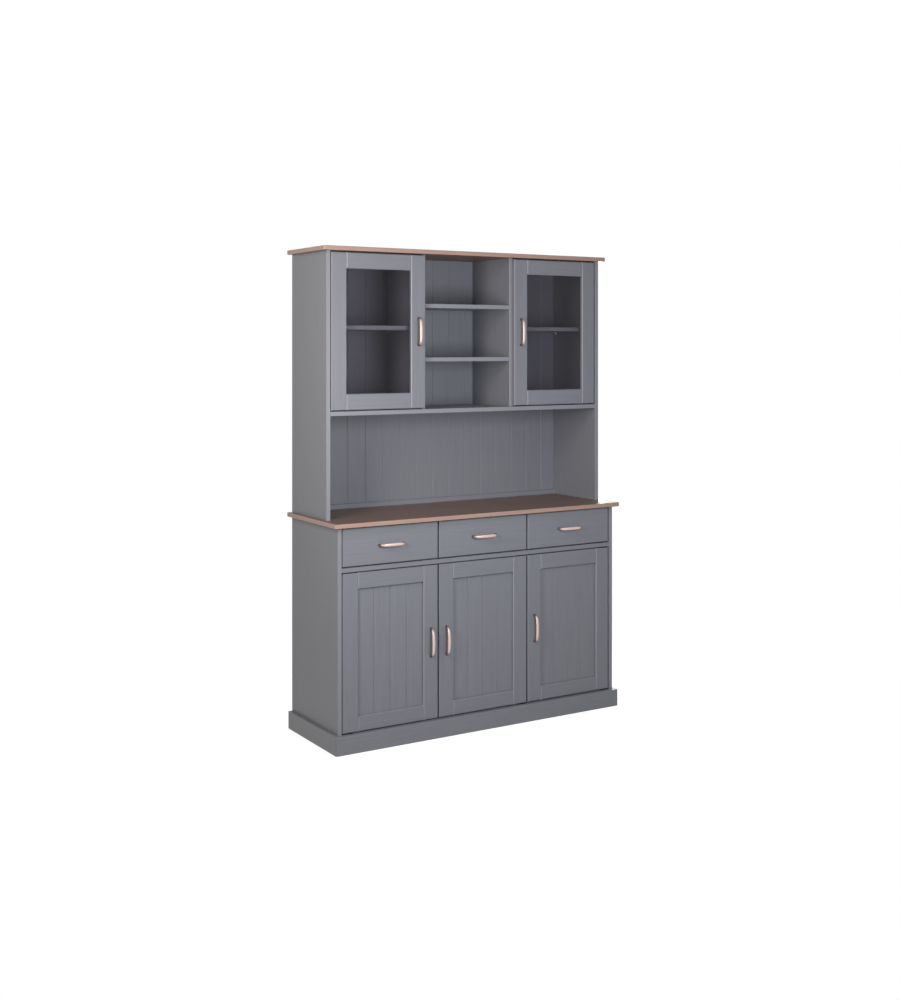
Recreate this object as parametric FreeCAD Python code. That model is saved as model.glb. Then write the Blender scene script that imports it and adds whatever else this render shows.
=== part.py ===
import FreeCAD, Part
import math
import os

# A buffet with a glazed hutch on its worktop, in millimetres, at its real size.
# X runs to the right, Y to the back and Z up. The origin is on the floor, in the
# middle of the width and in the middle of the whole depth, handles included.

# Cabinet as a whole
BODY_WIDTH = 1356.0
BASE_DEPTH = 425.0
HUTCH_DEPTH = 325.0
WORKTOP_HEIGHT = 900.0
TOTAL_HEIGHT = 1990.0

# Boards of the carcass
BOARD = 18.0
BOARD_EASE = 1.5
BACK_THICK = 4.0
BACK_REBATE = 9.0

# Worktop and hutch top, which overhang the front and both sides
WORKTOP_THICK = 18.0
WORKTOP_SIDE_OVERHANG = 22.0
WORKTOP_FRONT_OVERHANG = 25.0
TOP_THICK = 18.0
TOP_SIDE_OVERHANG = 22.0
TOP_FRONT_OVERHANG = 25.0
TOP_CORNER_BEVEL = 4.5
TOP_RIM_ROUND = 3.0

# Plinth, mitred round the front and both sides, with rounded corners and a bevelled top edge
PLINTH_HEIGHT = 72.0
PLINTH_FRONT_THICK = 22.0
PLINTH_SIDE_THICK = 17.0
PLINTH_CORNER_ROUND = 9.0
PLINTH_TOP_BEVEL = 2.0

# Row of the drawers, and the rail between it and the base doors
DRAWER_ROW_CLEAR = 159.0
RAIL_DEPTH = 60.0

# Clear height of the niche, and the shelves above and below it, whose undersides stand
# at a share of the height inside the hutch or the base cupboard
NICHE_CLEAR = 413.0
LOW_CUBBY_SHARE = 0.306
HIGH_CUBBY_SHARE = 0.655
HUTCH_SHELF_SHARE = 0.51
HUTCH_SHELF_SETBACK = 20.0
BASE_SHELF_SHARE = 0.482
BASE_SHELF_SETBACK = 50.0
SHELF_END_PLAY = 0.5

# Beadboard back and its lower rail
BEAD_PITCH = 84.0
BEAD_GROOVE_WIDTH = 4.0
BEAD_GROOVE_DEPTH = 1.5
BACK_RAIL_HEIGHT = 20.0
BACK_RAIL_THICK = 15.0
BACK_RAIL_ROUND = 3.0

# Doors, hung between the sides and in front of the partitions
DOOR_THICK = 20.0
DOOR_GAP = 4.0
MEETING_GAP = 6.0
PARTITION_SETBACK = 2.0
FRONT_BEVEL = 3.0
STILE_WIDTH = 68.0
DOOR_RAIL_WIDTH = 65.0
BASE_LOW_RAIL_WIDTH = 60.0

# Glass, held in a rebate at the back of its frame by thin beads
GLASS_THICK = 3.0
BEAD_THICK = 3.0
GLASS_REBATE = 8.0
GLASS_PLAY = 0.5

# Grooved panel of the base doors
PANEL_THICK = 6.0
PANEL_RECESS = 11.0
PANEL_TONGUE = 8.0
PANEL_PLAY = 0.5
PANEL_BOARDS = 4
PANEL_GROOVE_WIDTH = 4.0
PANEL_GROOVE_DEPTH = 2.0

# Drawers, whose grooved sides run on battens
DRAWER_SIDE_THICK = 15.0
DRAWER_BOX_HEIGHT = 110.0
DRAWER_BOX_DEPTH = 360.0
DRAWER_BOX_DROP = 28.0
DRAWER_SIDE_GAP = 4.0
DRAWER_FLOOR_THICK = 5.0
DRAWER_FLOOR_LIFT = 8.0
DRAWER_FLOOR_TONGUE = 6.0
RUNNER_THICK = 12.0
RUNNER_HEIGHT = 15.0
RUNNER_FRONT_CLEAR = 7.0
RUNNER_PLAY = 0.3
RUNNER_END_PLAY = 1.0

# Bow handle: a bent strap that swells from its feet to the middle of its grip
HANDLE_LENGTH = 122.0
HANDLE_REACH = 27.0
HANDLE_CROWN = 5.0
HANDLE_BEND = 18.0
HANDLE_FOOT_LENGTH = 12.0
HANDLE_FOOT_WIDTH = 9.0
HANDLE_GRIP_THICK = 6.0
HANDLE_GRIP_WIDTH = 16.0

# Pivot hinges, let into the top and bottom edges of every door
PIVOT_INSET = 6.0
PIVOT_PIN_RADIUS = 2.0
PIVOT_CLEARANCE = 0.05
PIVOT_PLATE_THICK = 4.0
PIVOT_PLATE_LENGTH = 40.0
PIVOT_PLATE_WIDTH = 7.0
PIVOT_PLATE_END = 3.0
PIVOT_THRUST_GAP = 0.3
PIVOT_TIP_GAP = 0.5

# Magnetic catches on the partitions and their strike plates on the doors
CATCH_WIDTH = 14.0
CATCH_HEIGHT = 40.0
CATCH_DEPTH = 30.0
CATCH_DROP = 90.0
CATCH_BEVEL = 1.5
STRIKE_THICK = 1.5
STRIKE_GAP = 0.3
STRIKE_MARGIN = 2.0

# Pins of the hutch shelves, and the flat tenons that join the hutch sides to the worktop
# and to the top
PIN_RADIUS = 2.5
PIN_REACH = 8.0
PIN_EMBED = 8.0
PIN_FROM_BACK = 25.0
PIN_FROM_FRONT = 35.0
TENON_THICK = 8.0
TENON_WIDTH = 40.0
TENON_IN_SIDE = 22.0
TENON_IN_TOP = 10.0
TENON_FROM_EDGE = 55.0

# How far a cutting tool runs past the piece, how near counts as in a plane, and
# the turn in degrees that lays an upright handle level
OVERRUN = 5.0
PLANE_TOLERANCE = 0.01
LEVEL_TURN = 90.0

# Places worked out from the sizes
TOTAL_DEPTH = BASE_DEPTH + max(WORKTOP_FRONT_OVERHANG, PLINTH_FRONT_THICK, HANDLE_REACH)
Y_BACK = TOTAL_DEPTH / 2
Y_BASE = Y_BACK - BASE_DEPTH
Y_HUTCH = Y_BACK - HUTCH_DEPTH
Y_PANEL = Y_BACK - BACK_THICK
X_SIDE = BODY_WIDTH / 2
X_INNER = X_SIDE - BOARD
Z_BASE = WORKTOP_HEIGHT - WORKTOP_THICK
Z_DRAWERS = Z_BASE - DRAWER_ROW_CLEAR
Z_RAIL = Z_DRAWERS - BOARD
Z_TOP = TOTAL_HEIGHT - TOP_THICK
Z_HUTCH_FLOOR = WORKTOP_HEIGHT + NICHE_CLEAR
Z_DISPLAY = Z_HUTCH_FLOOR + BOARD
DOOR_WIDTH = (2 * X_INNER - 2 * DOOR_GAP - 2 * MEETING_GAP) / 3
X_PARTITION = (DOOR_WIDTH + MEETING_GAP) / 2
DOOR_PITCH = DOOR_WIDTH + MEETING_GAP
Z_HUTCH_SHELF = Z_DISPLAY + HUTCH_SHELF_SHARE * (Z_TOP - Z_DISPLAY)
Z_LOW_CUBBY = Z_DISPLAY + LOW_CUBBY_SHARE * (Z_TOP - Z_DISPLAY)
Z_HIGH_CUBBY = Z_DISPLAY + HIGH_CUBBY_SHARE * (Z_TOP - Z_DISPLAY)
Z_BASE_SHELF = PLINTH_HEIGHT + BASE_SHELF_SHARE * (Z_RAIL - PLINTH_HEIGHT)
HUTCH_DOOR_Z = (Z_DISPLAY + DOOR_GAP, Z_TOP - DOOR_GAP)
BASE_DOOR_Z = (PLINTH_HEIGHT + DOOR_GAP, Z_RAIL - DOOR_GAP)
DRAWER_Z = (Z_DRAWERS + DOOR_GAP, Z_BASE - DOOR_GAP)
DRAWER_BOX_Z = DRAWER_Z[1] - DRAWER_BOX_DROP - DRAWER_BOX_HEIGHT
RUNNER_Z = DRAWER_BOX_Z + DRAWER_BOX_HEIGHT / 2

# The three bays, left to right, as the clear space between their walls
BAYS = {
    "left": (-X_INNER, -X_PARTITION - BOARD / 2),
    "middle": (-X_PARTITION + BOARD / 2, X_PARTITION - BOARD / 2),
    "right": (X_PARTITION + BOARD / 2, X_INNER),
}
FRONT_CENTRES = {"left": -DOOR_PITCH, "middle": 0.0, "right": DOOR_PITCH}

# Every door: bay, height, plane of its front and the side that it is hinged on
DOORS = {
    "hutch_door_left": ("left", HUTCH_DOOR_Z, Y_HUTCH, -1),
    "hutch_door_right": ("right", HUTCH_DOOR_Z, Y_HUTCH, 1),
    "base_door_left": ("left", BASE_DOOR_Z, Y_BASE, -1),
    "base_door_middle": ("middle", BASE_DOOR_Z, Y_BASE, 1),
    "base_door_right": ("right", BASE_DOOR_Z, Y_BASE, 1),
}


def block(x0, x1, y0, y1, z0, z1):
    """A board between two opposite corners."""
    return Part.makeBox(x1 - x0, y1 - y0, z1 - z0, FreeCAD.Vector(x0, y0, z0))


def rod(radius, start, end):
    """A round bar between two points."""
    line = FreeCAD.Vector(*end) - FreeCAD.Vector(*start)
    return Part.makeCylinder(radius, line.Length, FreeCAD.Vector(*start), line)


def edge_span(edge, axis):
    """Lowest and highest place of an edge along axis 0, 1 or 2."""
    box = edge.BoundBox
    lows = (box.XMin, box.YMin, box.ZMin)
    highs = (box.XMax, box.YMax, box.ZMax)
    return lows[axis], highs[axis]


def edges_in_plane(shape, axis, place, along=None):
    """Edges that lie where the axis has this value, or only those that run along one axis."""
    found = []
    for edge in shape.Edges:
        low, high = edge_span(edge, axis)
        flat = abs(low - place) < PLANE_TOLERANCE and abs(high - place) < PLANE_TOLERANCE
        if not flat:
            continue
        if along is not None:
            start, end = edge_span(edge, along)
            if end - start < PLANE_TOLERANCE:
                continue
        found.append(edge)
    return found


def eased(shape, radius, axis, place, along=None):
    """The shape with the edges of one plane rounded."""
    return shape.makeFillet(radius, edges_in_plane(shape, axis, place, along))


def bevelled(shape, width, axis, place, along=None):
    """The shape with the edges of one plane bevelled."""
    return shape.makeChamfer(width, edges_in_plane(shape, axis, place, along))


def group(solids):
    """Like pieces kept as separate solids of one node."""
    return Part.makeCompound(solids)


def v_groove(x, y_face, z0, z1, width, depth):
    """Cutter for an upright V-groove in a face that looks to the front."""
    reach = depth + OVERRUN
    half = width / 2 * reach / depth
    tip = y_face + depth
    mouth = tip - reach
    corners = [(x - half, mouth), (x + half, mouth), (x, tip), (x - half, mouth)]
    outline = Part.makePolygon([FreeCAD.Vector(px, py, z0) for px, py in corners])
    return Part.Face(outline).extrude(FreeCAD.Vector(0, 0, z1 - z0))


def overhanging_top(side_overhang, y_front, z0, z1):
    """A top board with bevelled front corners and rounded rims at the front and sides."""
    half = X_SIDE + side_overhang
    top = block(-half, half, y_front, Y_BACK, z0, z1)
    top = bevelled(top, TOP_CORNER_BEVEL, 1, y_front, along=2)
    rims = []
    for face_z in (z0, z1):
        for edge in edges_in_plane(top, 2, face_z):
            if edge_span(edge, 1)[0] < Y_BACK - PLANE_TOLERANCE:
                rims.append(edge)
    return top.makeFillet(TOP_RIM_ROUND, rims)


def hutch_tenons():
    """Loose tenons from each hutch side down into the worktop and up into the top."""
    tenons = []
    for side in (-1, 1):
        x = side * (X_SIDE - BOARD / 2)
        for y in (Y_BACK - TENON_FROM_EDGE, Y_HUTCH + TENON_FROM_EDGE):
            for z0, z1 in ((WORKTOP_HEIGHT - TENON_IN_TOP, WORKTOP_HEIGHT + TENON_IN_SIDE),
                           (Z_TOP - TENON_IN_SIDE, Z_TOP + TENON_IN_TOP)):
                tenons.append(block(x - TENON_THICK / 2, x + TENON_THICK / 2,
                                    y - TENON_WIDTH / 2, y + TENON_WIDTH / 2, z0, z1))
    return tenons


def pin_rows(y_front, x0, x1, z):
    """Shelf pins under one shelf: two in each wall of its bay."""
    pins = []
    for y in (Y_PANEL - PIN_FROM_BACK, y_front + PIN_FROM_FRONT):
        pins.append(rod(PIN_RADIUS, (x0 - PIN_EMBED, y, z), (x0 + PIN_REACH, y, z)))
        pins.append(rod(PIN_RADIUS, (x1 - PIN_REACH, y, z), (x1 + PIN_EMBED, y, z)))
    return pins


def shelf(bay, y_front, z, end_play):
    """A shelf across one bay, with its front edge bevelled."""
    x0, x1 = BAYS[bay]
    board = block(x0 + end_play, x1 - end_play, y_front, Y_PANEL, z, z + BOARD)
    return bevelled(board, BOARD_EASE, 1, y_front, along=0)


def hutch_shelf_front():
    """Plane of the front edges of the loose shelves behind the glass doors."""
    return Y_HUTCH + DOOR_THICK + HUTCH_SHELF_SETBACK


def all_shelf_pins():
    """The pins that both hutch shelves rest on."""
    pins = []
    for bay in ("left", "right"):
        pins += pin_rows(hutch_shelf_front(), *BAYS[bay], Z_HUTCH_SHELF - PIN_RADIUS)
    return pins


def side_panel(side, y_front, z0, z1, cutters):
    """A side board, rebated for the back panel and cut for its pins and tenons."""
    x_in, x_out = side * X_INNER, side * X_SIDE
    board = block(min(x_in, x_out), max(x_in, x_out), y_front, Y_BACK, z0, z1)
    board = eased(board, BOARD_EASE, 1, y_front, along=2)
    x_rebate = side * (X_INNER + BACK_REBATE)
    x_open = side * (X_INNER - OVERRUN)
    rebate = block(min(x_rebate, x_open), max(x_rebate, x_open), Y_PANEL, Y_BACK + OVERRUN,
                   z0 - OVERRUN, z1 + OVERRUN)
    return board.cut([rebate] + cutters)


def partition(x, y_front, z0, z1, cutters):
    """An upright board between two bays, behind the doors."""
    board = block(x - BOARD / 2, x + BOARD / 2, y_front, Y_PANEL, z0, z1)
    return bevelled(board, BOARD_EASE, 1, y_front, along=2).cut(cutters)


def beadboard():
    """Hutch back with upright V-grooves, counted both ways from the middle."""
    half = X_INNER + BACK_REBATE
    panel = block(-half, half, Y_PANEL, Y_BACK, WORKTOP_HEIGHT, Z_TOP)
    count = int((X_INNER - BEAD_GROOVE_WIDTH) / BEAD_PITCH)
    grooves = [v_groove(number * BEAD_PITCH, Y_PANEL, WORKTOP_HEIGHT - OVERRUN, Z_TOP + OVERRUN,
                        BEAD_GROOVE_WIDTH, BEAD_GROOVE_DEPTH)
               for number in range(-count, count + 1)]
    return panel.cut(grooves)


def plinth_form():
    """The outer form of the whole plinth, before it is cut into its three boards."""
    half = X_SIDE + PLINTH_SIDE_THICK
    y_front = Y_BASE - PLINTH_FRONT_THICK
    form = block(-half, half, y_front, Y_BACK, 0, PLINTH_HEIGHT)
    form = form.makeFillet(PLINTH_CORNER_ROUND, edges_in_plane(form, 1, y_front, along=2))
    rim = [e for e in edges_in_plane(form, 2, PLINTH_HEIGHT)
           if edge_span(e, 1)[0] < Y_BACK - PLANE_TOLERANCE]
    return form.makeChamfer(PLINTH_TOP_BEVEL, rim)


def mitre_wedge(side):
    """The corner space that the side plinth board keeps, outside the mitre line."""
    x_in, x_out = side * X_SIDE, side * (X_SIDE + PLINTH_SIDE_THICK)
    y_in, y_out = Y_BASE, Y_BASE - PLINTH_FRONT_THICK
    run_x, run_y = x_out - x_in, y_out - y_in
    past_in = (x_in - run_x, y_in - run_y)
    past_out = (x_out + run_x, y_out + run_y)
    far = (past_out[0], past_in[1])
    outline = [FreeCAD.Vector(px, py, -OVERRUN) for px, py in (past_in, past_out, far, past_in)]
    face = Part.Face(Part.makePolygon(outline))
    return face.extrude(FreeCAD.Vector(0, 0, PLINTH_HEIGHT + 2 * OVERRUN))


def plinth_side(side):
    """Side plinth board, mitred where it meets the front one."""
    x_in, x_out = side * X_SIDE, side * (X_SIDE + PLINTH_SIDE_THICK)
    strip = block(min(x_in, x_out), max(x_in, x_out), Y_BASE, Y_BACK, 0, PLINTH_HEIGHT)
    corner = mitre_wedge(side).common(block(-TOTAL_DEPTH - X_SIDE, TOTAL_DEPTH + X_SIDE,
                                            Y_BASE - PLINTH_FRONT_THICK, Y_BASE, 0, PLINTH_HEIGHT))
    return plinth_form().common(strip.fuse(corner).removeSplitter())


def plinth_front():
    """Front plinth board with both ends mitred."""
    half = X_SIDE + PLINTH_SIDE_THICK
    strip = block(-half, half, Y_BASE - PLINTH_FRONT_THICK, Y_BASE, 0, PLINTH_HEIGHT)
    return plinth_form().common(strip).cut([mitre_wedge(-1), mitre_wedge(1)])


def drawer_runners():
    """Two battens in each bay, which the drawers' grooves run on."""
    battens = []
    y0 = Y_BASE + DOOR_THICK + RUNNER_FRONT_CLEAR
    y1 = Y_BASE + DOOR_THICK + DRAWER_BOX_DEPTH
    z0, z1 = RUNNER_Z - RUNNER_HEIGHT / 2, RUNNER_Z + RUNNER_HEIGHT / 2
    for x0, x1 in BAYS.values():
        battens.append(block(x0, x0 + RUNNER_THICK, y0, y1, z0, z1))
        battens.append(block(x1 - RUNNER_THICK, x1, y0, y1, z0, z1))
    return battens


def pivot_place(door):
    """X and Y of a door's pivot axis, near the front corner of its hinged edge."""
    bay, _, y_front, hinge_side = DOORS[door]
    x_edge = FRONT_CENTRES[bay] + hinge_side * DOOR_WIDTH / 2
    return x_edge - hinge_side * PIVOT_INSET, y_front + PIVOT_INSET


def plate_block(door, z0, z1):
    """Outline of a pivot plate, which lies along the door's edge."""
    x, y = pivot_place(door)
    inward = -DOORS[door][3]
    x_end = x - inward * PIVOT_PLATE_END
    x_tip = x_end + inward * PIVOT_PLATE_LENGTH
    half = PIVOT_PLATE_WIDTH / 2
    return block(min(x_end, x_tip), max(x_end, x_tip), y - half, y + half, z0, z1)


def carcass_pivot(door, end):
    """Plate on the carcass with the pin that a door turns on; end is -1 below, 1 above."""
    x, y = pivot_place(door)
    z_door = DOORS[door][1][end > 0]
    z_wall = z_door + end * DOOR_GAP
    z_face = z_door + end * PIVOT_THRUST_GAP
    z_tip = z_door - end * (PIVOT_PLATE_THICK - PIVOT_TIP_GAP)
    plate = plate_block(door, min(z_wall, z_face), max(z_wall, z_face))
    pin = rod(PIVOT_PIN_RADIUS, (x, y, z_wall), (x, y, z_tip))
    return plate.fuse(pin).removeSplitter()


def door_pivot_plate(door, end):
    """Plate let into the door's edge, bored for the pin."""
    x, y = pivot_place(door)
    z_door = DOORS[door][1][end > 0]
    z_in = z_door - end * PIVOT_PLATE_THICK
    plate = plate_block(door, min(z_door, z_in), max(z_door, z_in))
    bore = rod(PIVOT_PIN_RADIUS + PIVOT_CLEARANCE,
               (x, y, z_door + end * OVERRUN), (x, y, z_in - end * OVERRUN))
    return plate.cut(bore)


def door_plate_recesses(door):
    """Recesses for a door's two pivot plates, open at its lower and upper edge."""
    recesses = []
    for end, z_door in zip((-1, 1), DOORS[door][1]):
        z_in, z_out = z_door - end * PIVOT_PLATE_THICK, z_door + end * OVERRUN
        recesses.append(plate_block(door, min(z_out, z_in), max(z_out, z_in)))
    return recesses


def catch_place(door):
    """X of the partition beside a door's free edge, Y of the door's back and Z of its catch."""
    bay, (_, z_high), y_front, hinge_side = DOORS[door]
    x0, x1 = BAYS[bay]
    wall = x1 if hinge_side < 0 else x0
    return wall, y_front + DOOR_THICK, z_high - CATCH_DROP


def door_catch(door):
    """Magnetic catch on the partition, just behind the strike plate."""
    wall, y_door, z = catch_place(door)
    x_far = wall + DOORS[door][3] * CATCH_WIDTH
    y0 = y_door + STRIKE_THICK + STRIKE_GAP
    body = block(min(wall, x_far), max(wall, x_far), y0, y0 + CATCH_DEPTH,
                 z - CATCH_HEIGHT / 2, z + CATCH_HEIGHT / 2)
    return bevelled(body, CATCH_BEVEL, 0, x_far)


def strike_plate(door):
    """Steel plate on the back of the door, facing the catch."""
    wall, y_door, z = catch_place(door)
    hinge_side = DOORS[door][3]
    x_near = wall + hinge_side * STRIKE_MARGIN
    x_far = wall + hinge_side * (CATCH_WIDTH + STRIKE_MARGIN)
    tall = CATCH_HEIGHT / 2 - STRIKE_MARGIN
    return block(min(x_near, x_far), max(x_near, x_far), y_door, y_door + STRIKE_THICK,
                 z - tall, z + tall)


def door_hardware(door):
    """The metal that is screwed to one door."""
    plates = [door_pivot_plate(door, end) for end in (-1, 1)]
    return group(plates + [strike_plate(door)])


def door_box(door):
    """Left, right, front, back, bottom and top of a door."""
    bay, (z_low, z_high), y_front, _ = DOORS[door]
    centre = FRONT_CENTRES[bay]
    half = DOOR_WIDTH / 2
    return centre - half, centre + half, y_front, y_front + DOOR_THICK, z_low, z_high


def frame_solids(door, low_rail, slot_y0, slot_y1, slot_depth):
    """Stiles and rails of a door, slotted alike along the inner edge.

    The rails end in tenons that fill the stiles' slot, so that the frame locks together.
    """
    x0, x1, y0, y1, z0, z1 = door_box(door)
    xi0, xi1 = x0 + STILE_WIDTH, x1 - STILE_WIDTH
    zi0, zi1 = z0 + low_rail, z1 - DOOR_RAIL_WIDTH
    slot = block(xi0 - slot_depth, xi1 + slot_depth, slot_y0, slot_y1,
                 z0 - OVERRUN, z1 + OVERRUN)
    rail_slot = block(xi0 - OVERRUN - slot_depth, xi1 + OVERRUN + slot_depth, slot_y0, slot_y1,
                      zi0 - slot_depth, zi1 + slot_depth)
    solids = []
    for xa, xb in ((x0, xi0), (xi1, x1)):
        stile = bevelled(block(xa, xb, y0, y1, z0, z1), FRONT_BEVEL, 1, y0)
        solids.append(stile.cut([slot] + door_plate_recesses(door)))
    for za, zb in ((z0, zi0), (zi1, z1)):
        rail = bevelled(block(xi0, xi1, y0, y1, za, zb), FRONT_BEVEL, 1, y0)
        tenons = block(xi0 - slot_depth, xi1 + slot_depth, slot_y0, slot_y1, za, zb)
        solids.append(rail.fuse(tenons).removeSplitter().cut(rail_slot))
    return solids, (xi0, xi1, zi0, zi1)


def glass_door(door):
    """Frame with its beads, and the pane between them."""
    y_front = DOORS[door][2]
    y_glass = y_front + DOOR_THICK - GLASS_THICK - BEAD_THICK
    y_bead = y_glass + GLASS_THICK
    y_end = y_front + DOOR_THICK
    solids, (xi0, xi1, zi0, zi1) = frame_solids(door, DOOR_RAIL_WIDTH, y_glass,
                                                y_end + OVERRUN, GLASS_REBATE)
    solids = [solid.common(block(*door_box(door))) for solid in solids]
    reach = GLASS_REBATE - GLASS_PLAY
    pane = block(xi0 - reach, xi1 + reach, y_glass, y_bead, zi0 - reach, zi1 + reach)
    for xa, xb in ((xi0 - GLASS_REBATE, xi0), (xi1, xi1 + GLASS_REBATE)):
        solids.append(block(xa, xb, y_bead, y_end, zi0 - GLASS_REBATE, zi1 + GLASS_REBATE))
    for za, zb in ((zi0 - GLASS_REBATE, zi0), (zi1, zi1 + GLASS_REBATE)):
        solids.append(block(xi0, xi1, y_bead, y_end, za, zb))
    return group(solids), pane


def panel_door(door):
    """Frame with the grooved panel that sits loose in it."""
    y_panel = DOORS[door][2] + PANEL_RECESS
    solids, (xi0, xi1, zi0, zi1) = frame_solids(door, BASE_LOW_RAIL_WIDTH, y_panel,
                                                y_panel + PANEL_THICK, PANEL_TONGUE)
    reach = PANEL_TONGUE - PANEL_PLAY
    panel = block(xi0 - reach, xi1 + reach, y_panel, y_panel + PANEL_THICK,
                  zi0 - reach, zi1 + reach)
    grooves = []
    for number in range(1, PANEL_BOARDS):
        x = xi0 + (xi1 - xi0) * number / PANEL_BOARDS
        grooves.append(v_groove(x, y_panel, zi0 - PANEL_TONGUE, zi1 + PANEL_TONGUE,
                                PANEL_GROOVE_WIDTH, PANEL_GROOVE_DEPTH))
    return group(solids), panel.cut(grooves)


def bent_bar(half, shoulder, reach, bend, width, y_foot):
    """Solid under a bow: straight flanks, rounded shoulders and a crowned front."""
    x = -width / 2
    foot_low, foot_high = FreeCAD.Vector(x, y_foot, -half), FreeCAD.Vector(x, y_foot, half)
    low, high = FreeCAD.Vector(x, -shoulder, -half), FreeCAD.Vector(x, -shoulder, half)
    lines = [Part.makeLine(foot_low, low),
             Part.Arc(low, FreeCAD.Vector(x, -reach, 0), high).toShape(),
             Part.makeLine(high, foot_high), Part.makeLine(foot_high, foot_low)]
    bar = Part.Face(Part.Wire(lines)).extrude(FreeCAD.Vector(width, 0, 0))
    shoulders = edges_in_plane(bar, 1, -shoulder, along=0)
    return bar.makeFillet(bend, shoulders)


def grip_outline(y):
    """Plan of the handle, seen from the front: narrow feet and a wider grip.

    Both arcs run past the feet, so that the plan cuts clear of their ends.
    """
    half, foot, grip = HANDLE_LENGTH / 2, HANDLE_FOOT_WIDTH / 2, HANDLE_GRIP_WIDTH / 2
    rise = grip - foot
    radius = (half ** 2 + rise ** 2) / (2 * rise)
    far = half + OVERRUN
    end = grip - radius + math.sqrt(radius ** 2 - far ** 2)
    sides = []
    for turn in (1, -1):
        start = FreeCAD.Vector(turn * end, y, -turn * far)
        stop = FreeCAD.Vector(turn * end, y, turn * far)
        other = FreeCAD.Vector(-turn * end, y, turn * far)
        sides.append(Part.Arc(start, FreeCAD.Vector(turn * grip, y, 0), stop).toShape())
        sides.append(Part.makeLine(stop, other))
    return Part.Face(Part.Wire(sides))


def bow_handle():
    """Upright bow handle with its feet on the plane Y = 0."""
    half = HANDLE_LENGTH / 2
    wide = HANDLE_GRIP_WIDTH + 2 * OVERRUN
    shoulder = HANDLE_REACH - HANDLE_CROWN
    outer = bent_bar(half, shoulder, HANDLE_REACH, HANDLE_BEND, wide, 0)
    inner = bent_bar(half - HANDLE_FOOT_LENGTH, shoulder - HANDLE_GRIP_THICK,
                     HANDLE_REACH - HANDLE_GRIP_THICK, HANDLE_BEND - HANDLE_GRIP_THICK,
                     wide + 2 * OVERRUN, OVERRUN)
    plan = grip_outline(OVERRUN).extrude(FreeCAD.Vector(0, -HANDLE_REACH - 2 * OVERRUN, 0))
    return outer.cut(inner).common(plan)


def placed_handle(x, y, z, level=False):
    """A bow handle centred on a point of a front, upright or level."""
    handle = bow_handle()
    if level:
        handle.rotate(FreeCAD.Vector(0, 0, 0), FreeCAD.Vector(0, 1, 0), LEVEL_TURN)
    handle.translate(FreeCAD.Vector(x, y, z))
    return handle


def door_handle(door):
    """Handle in the middle of the stile that is not hinged."""
    x0, x1, y_front, _, z0, z1 = door_box(door)
    inset = STILE_WIDTH / 2
    x = x1 - inset if DOORS[door][3] < 0 else x0 + inset
    return placed_handle(x, y_front, (z0 + z1) / 2)


def drawer_front(bay):
    """Inset drawer front with bevelled edges, grooved inside for the drawer floor."""
    centre = FRONT_CENTRES[bay]
    half = DOOR_WIDTH / 2
    front = block(centre - half, centre + half, Y_BASE, Y_BASE + DOOR_THICK, *DRAWER_Z)
    front = bevelled(front, FRONT_BEVEL, 1, Y_BASE)
    return front.cut(drawer_floor(bay))


def drawer_walls(bay):
    """X of the outer and inner faces of a drawer's two sides."""
    x0, x1 = BAYS[bay]
    left, right = x0 + DRAWER_SIDE_GAP, x1 - DRAWER_SIDE_GAP
    return left, left + DRAWER_SIDE_THICK, right - DRAWER_SIDE_THICK, right


def drawer_floor(bay):
    """Thin floor that slides into grooves in the sides and the front."""
    _, left, right, _ = drawer_walls(bay)
    y0 = Y_BASE + DOOR_THICK - DRAWER_FLOOR_TONGUE
    y1 = Y_BASE + DOOR_THICK + DRAWER_BOX_DEPTH
    z = DRAWER_BOX_Z + DRAWER_FLOOR_LIFT
    return block(left - DRAWER_FLOOR_TONGUE, right + DRAWER_FLOOR_TONGUE, y0, y1,
                 z, z + DRAWER_FLOOR_THICK)


def drawer_box(bay):
    """Two grooved sides and the back between them."""
    outer_l, inner_l, inner_r, outer_r = drawer_walls(bay)
    y0, y1 = Y_BASE + DOOR_THICK, Y_BASE + DOOR_THICK + DRAWER_BOX_DEPTH
    z0, z1 = DRAWER_BOX_Z, DRAWER_BOX_Z + DRAWER_BOX_HEIGHT
    grip = RUNNER_THICK - DRAWER_SIDE_GAP + RUNNER_END_PLAY
    slot_half = RUNNER_HEIGHT / 2 + RUNNER_PLAY
    solids = []
    for x_out, x_in in ((outer_l, inner_l), (outer_r, inner_r)):
        side = block(min(x_out, x_in), max(x_out, x_in), y0, y1, z0, z1)
        side = bevelled(side, BOARD_EASE, 2, z1, along=1)
        inward = 1 if x_in > x_out else -1
        x_deep, x_past = x_out + inward * grip, x_out - inward * OVERRUN
        slot = block(min(x_deep, x_past), max(x_deep, x_past), y0 - OVERRUN, y1 + OVERRUN,
                     RUNNER_Z - slot_half, RUNNER_Z + slot_half)
        solids.append(side.cut([slot, drawer_floor(bay)]))
    z_back = z0 + DRAWER_FLOOR_LIFT + DRAWER_FLOOR_THICK
    solids.append(block(inner_l, inner_r, y1 - DRAWER_SIDE_THICK, y1, z_back, z1))
    return group(solids)


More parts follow.
